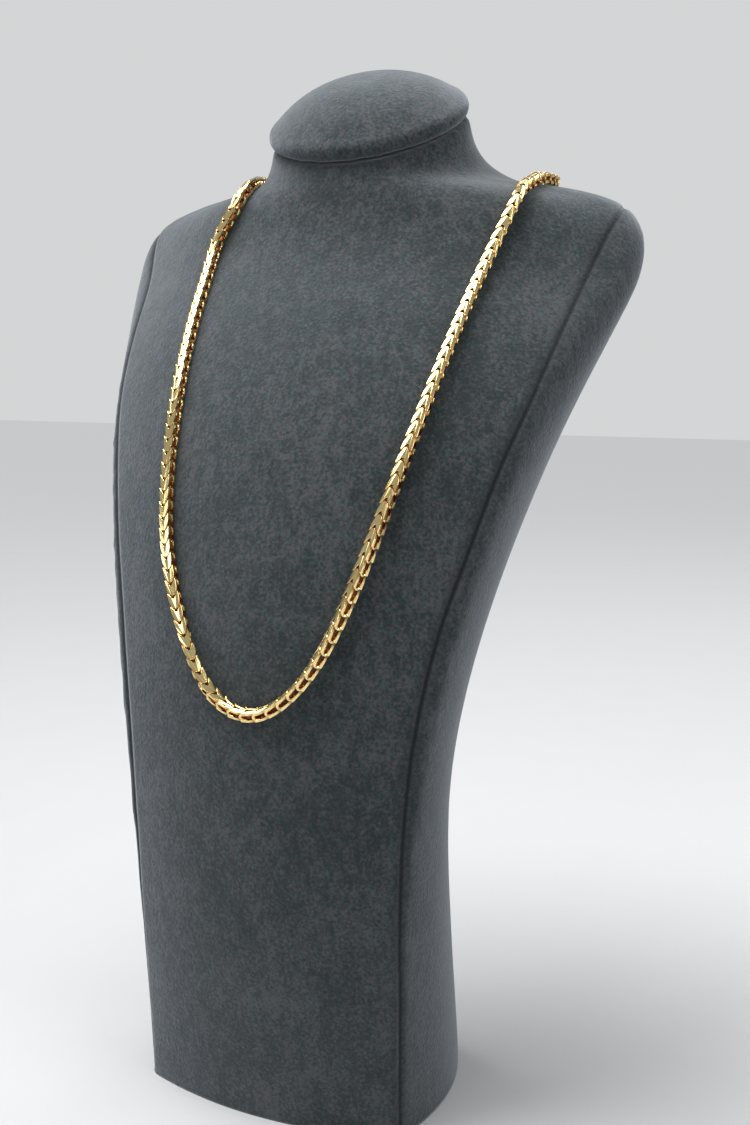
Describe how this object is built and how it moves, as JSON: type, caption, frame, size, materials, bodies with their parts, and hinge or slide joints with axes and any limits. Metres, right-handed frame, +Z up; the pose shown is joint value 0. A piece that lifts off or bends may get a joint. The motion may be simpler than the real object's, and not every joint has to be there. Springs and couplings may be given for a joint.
{
  "type": "franco chain on a neck bust",
  "caption": "Square franco neck chain of interlocking folded loops, a closed loop over the shoulders of a plain suede-covered neck bust, with a small clasp at the nape.",
  "frame": {"origin": "middle of the whole box, on the floor under the bust", "axes": "+X to the viewer's right, +Y away from the viewer into the bust's back, +Z up"},
  "size_m": [0.2198, 0.1512, 0.3967],
  "materials": {
    "suede": "matt brushed suede",
    "gold": "polished yellow gold"
  },
  "bodies": {
    "root": {"bust_body": "suede", "neck_cap": "suede", "chain_right": "gold", "chain_left": "gold", "end_cap_left": "gold", "end_cap_right": "gold", "clasp": "gold"}
  },
  "joints": []
}
